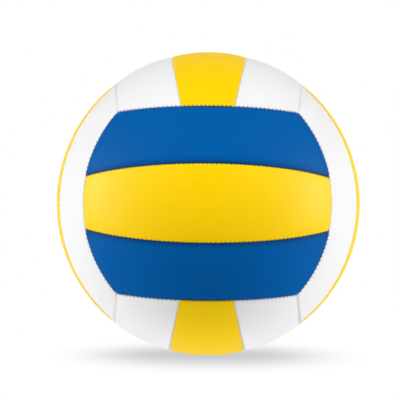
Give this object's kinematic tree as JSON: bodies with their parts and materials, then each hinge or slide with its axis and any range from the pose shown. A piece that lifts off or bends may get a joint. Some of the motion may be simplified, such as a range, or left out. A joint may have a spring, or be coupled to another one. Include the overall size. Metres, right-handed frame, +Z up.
{
  "type": "volleyball",
  "caption": "Inflated indoor volleyball: sewn cover of curved strip panels in yellow, blue and white over foam, cloth lining and a rubber bladder with a needle valve.",
  "frame": {"origin": "centre of the ball", "axes": "+Z up as the ball sits in the picture, -Y towards the viewer, +Y out along the needle valve at the middle of the back face, +X to the viewer's right"},
  "size_m": [0.21, 0.2099, 0.21],
  "materials": {
    "yellow_cover": "satin synthetic leather with a fine grain",
    "blue_cover": "satin synthetic leather with a fine grain",
    "white_cover": "satin synthetic leather with a fine grain",
    "backing_foam": "soft closed-cell foam",
    "lining_cloth": "woven polyester and cotton cloth",
    "navy_thread": "waxed twisted polyester thread",
    "white_thread": "waxed twisted polyester thread",
    "bladder_rubber": "smooth butyl rubber",
    "valve_rubber": "moulded rubber",
    "plug_rubber": "soft natural rubber"
  },
  "bodies": {
    "ball": {"back_lining": "lining_cloth", "back_lower_foam": "backing_foam", "back_lower_panel": "blue_cover", "back_middle_foam": "backing_foam", "back_middle_panel": "yellow_cover", "back_stitching": "navy_thread", "back_upper_foam": "backing_foam", "back_upper_panel": "blue_cover", "bladder": "bladder_rubber", "bottom_left_foam": "backing_foam", "bottom_left_panel": "white_cover", "bottom_lining": "lining_cloth", "bottom_middle_foam": "backing_foam", "bottom_middle_panel": "yellow_cover", "bottom_right_foam": "backing_foam", "bottom_right_panel": "white_cover", "bottom_stitching": "white_thread", "front_lining": "lining_cloth", "front_lower_foam": "backing_foam", "front_lower_panel": "blue_cover", "front_middle_foam": "backing_foam", "front_middle_panel": "yellow_cover", "front_stitching": "navy_thread", "front_upper_foam": "backing_foam", "front_upper_panel": "blue_cover", "left_back_foam": "backing_foam", "left_back_panel": "white_cover", "left_front_foam": "backing_foam", "left_front_panel": "white_cover", "left_lining": "lining_cloth", "left_middle_foam": "backing_foam", "left_middle_panel": "yellow_cover", "left_stitching": "white_thread", "right_back_foam": "backing_foam", "right_back_panel": "white_cover", "right_front_foam": "backing_foam", "right_front_panel": "white_cover", "right_lining": "lining_cloth", "right_middle_foam": "backing_foam", "right_middle_panel": "yellow_cover", "right_stitching": "white_thread", "top_left_foam": "backing_foam", "top_left_panel": "white_cover", "top_lining": "lining_cloth", "top_middle_foam": "backing_foam", "top_middle_panel": "yellow_cover", "top_right_foam": "backing_foam", "top_right_panel": "white_cover", "top_stitching": "white_thread", "valve_housing": "valve_rubber"},
    "insert": {"valve_insert": "plug_rubber"}
  },
  "joints": [
    {"name": "valve_insert_pull", "type": "slide", "parent": "ball", "child": "insert", "axis": [0, 1, 0], "range_m": [0, 0.025]}
  ]
}
